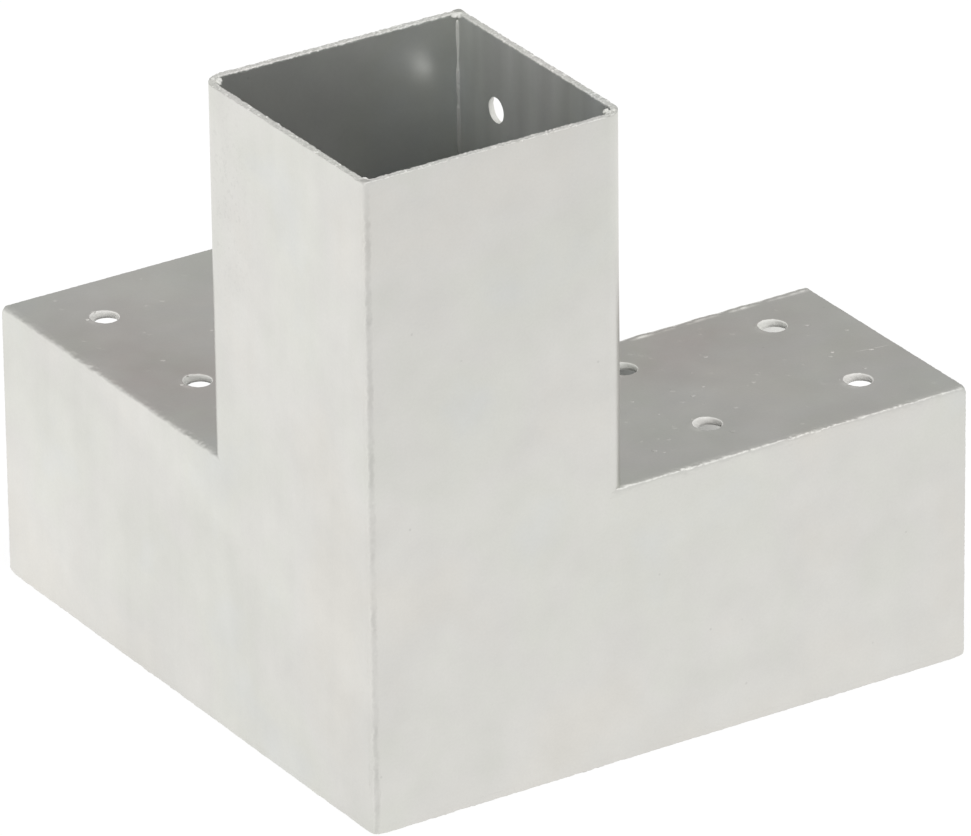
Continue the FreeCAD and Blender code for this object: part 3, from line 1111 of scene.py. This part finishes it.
def cut_zinc():
    """The sheets' cut edges, mottled."""
    return galvanised("cut_zinc", (0.80, 0.80, 0.78), metal=0.6, dullness=0.42, grain=0.15)


def punched_zinc():
    """The walls of the holes and the drops on the rim, pale to paint the light that they catch."""
    return galvanised("punched_zinc", (0.92, 0.92, 0.90), metal=0.2, dullness=0.5, grain=0.02)


def weld_zinc(name, is_seam=False):
    """The welds, and with a painted highlight and a line of painted shade along it the front seam."""
    return galvanised(name, (0.740, 0.740, 0.718), metal=1.0, dullness=0.38, is_seam=is_seam)


def run_zinc():
    """The run of weld metal in the upright's back corner, near white to paint the highlight along it, with
    painted shade lower down.
    """
    return galvanised("run_zinc", (0.97, 0.97, 0.95), metal=0.4, dullness=0.42, deep=((138, 166), 0.5))


# Studio

def floor_material():
    """White to the camera and in reflections, with a faint shadow, and pale to other rays."""
    material = bpy.data.materials.new("studio_floor")
    tree = empty_tree(material)
    rays = add_node(tree, "LightPath").outputs
    in_camera = rays["Is Camera Ray"]
    mirrored_ray = calculated(tree, "MAXIMUM", rays["Is Glossy Ray"], rays["Is Transmission Ray"])
    seen = calculated(tree, "MAXIMUM", in_camera, mirrored_ray)
    place = add_node(tree, "NewGeometry").outputs["Position"]
    fall = towards(tree, place, KEY_SIDE, (-FALL_REACH, FALL_REACH),
                   (MIRROR_GLOW * (1 - FLOOR_FALL), MIRROR_GLOW * (1 + FLOOR_FALL)))
    front = towards(tree, place, FRONT_SIDE, FRONT_REACH, (1.0, 1.0 - FRONT_FALL))
    strength = blend(tree, in_camera, product(tree, fall, front), FLOOR_GLOW)
    plain = add_node(tree, "BsdfDiffuse", {"Color": (0.8, 0.8, 0.8, 1)})
    tone = add_node(tree, "BsdfDiffuse", {"Color": (FLOOR_TONE, FLOOR_TONE, FLOOR_TONE, 1)})
    tint = ramp(tree, in_camera, [(0.0, LIGHT_TINT[:3]), (1.0, WHITE)])
    glow = add_node(tree, "Emission", {"Color": tint, "Strength": strength})
    white = add_node(tree, "AddShader", {0: tone.outputs[0], 1: glow.outputs[0]})
    mix = add_node(tree, "MixShader", {0: seen, 1: plain.outputs[0], 2: white.outputs[0]})
    add_node(tree, "OutputMaterial", {"Surface": mix.outputs[0]})
    return material


def lay_floor():
    """A wide pale floor under the part."""
    mesh = bpy.data.meshes.new("floor")
    h = FLOOR_HALF
    mesh.from_pydata([(-h, -h, 0), (h, -h, 0), (h, h, 0), (-h, h, 0)], [], [(0, 1, 2, 3)])
    mesh.materials.append(floor_material())
    floor = new_object("floor", mesh)


def light_world():
    """A soft light studio, greyer behind the part."""
    world = bpy.data.worlds.new("studio")
    bpy.context.scene.world = world
    tree = empty_tree(world)
    direction = add_node(tree, "TexCoord").outputs["Generated"]
    level = towards(tree, direction, BACK_SIDE, (0.25, 0.85), (SKY_LIGHT, SKY_BACK))
    background = add_node(tree, "Background", {"Color": LIGHT_TINT, "Strength": level})
    add_node(tree, "OutputWorld", {"Surface": background.outputs[0]})


def add_softbox(name, place, width, height, radiance):
    """A rectangular lamp, turned to the part, whose face shines with a radiance."""
    data = bpy.data.lights.new(name, "AREA")
    data.shape = "RECTANGLE"
    data.size = width
    data.size_y = height
    data.energy = radiance * pi * width * height
    turn = (LAMP_AIM - Vector(place)).to_track_quat("-Z", "Y")
    new_object(name, data).matrix_world = Matrix.Translation(place) @ turn.to_matrix().to_4x4()


def place_camera():
    """The photograph's view: a long lens from above, with a small roll."""
    data = bpy.data.cameras.new("photo_camera")
    data.lens = LENS_MM
    data.sensor_width = SENSOR_MM
    camera = new_object("photo_camera", data)
    turn = Matrix.Rotation(-CAMERA_AZIMUTH, 4, "Z") @ Matrix.Rotation(pi / 2 - CAMERA_ELEVATION, 4, "X")
    away = Matrix.Rotation(-CAMERA_ROLL, 4, "Z") @ Matrix.Translation((0, 0, CAMERA_DISTANCE))
    camera.matrix_world = Matrix.Translation(CAMERA_TARGET) @ turn @ away
    bpy.context.scene.camera = camera


bpy.context.scene.view_settings.view_transform = "Standard"
place_camera()
lay_floor()
light_world()
add_softbox("top_softbox", place=(0.55, -0.35, 1.55), width=1.2, height=1.0, radiance=0.5)
add_softbox("front_softbox", place=(-1.0, -1.7, 1.05), width=1.8, height=1.6, radiance=0.35)

punched = punched_zinc()
weld = weld_zinc("weld_zinc")
sheet_materials = [outer_zinc(), inner_zinc(), cut_zinc(), punched]
build_face_plates(sheet_materials)
build_leg_angles(sheet_materials)
build_base(sheet_materials)
build_welds(weld, weld_zinc("seam_zinc", is_seam=True), run_zinc())
drop_draws = random.Random(DROP_SEED)
build_top_drops("right", RIGHT_PIMPLES, drop_draws, weld)
build_top_drops("left", LEFT_PIMPLES, drop_draws, weld)
build_rim_drops(drop_draws, punched)
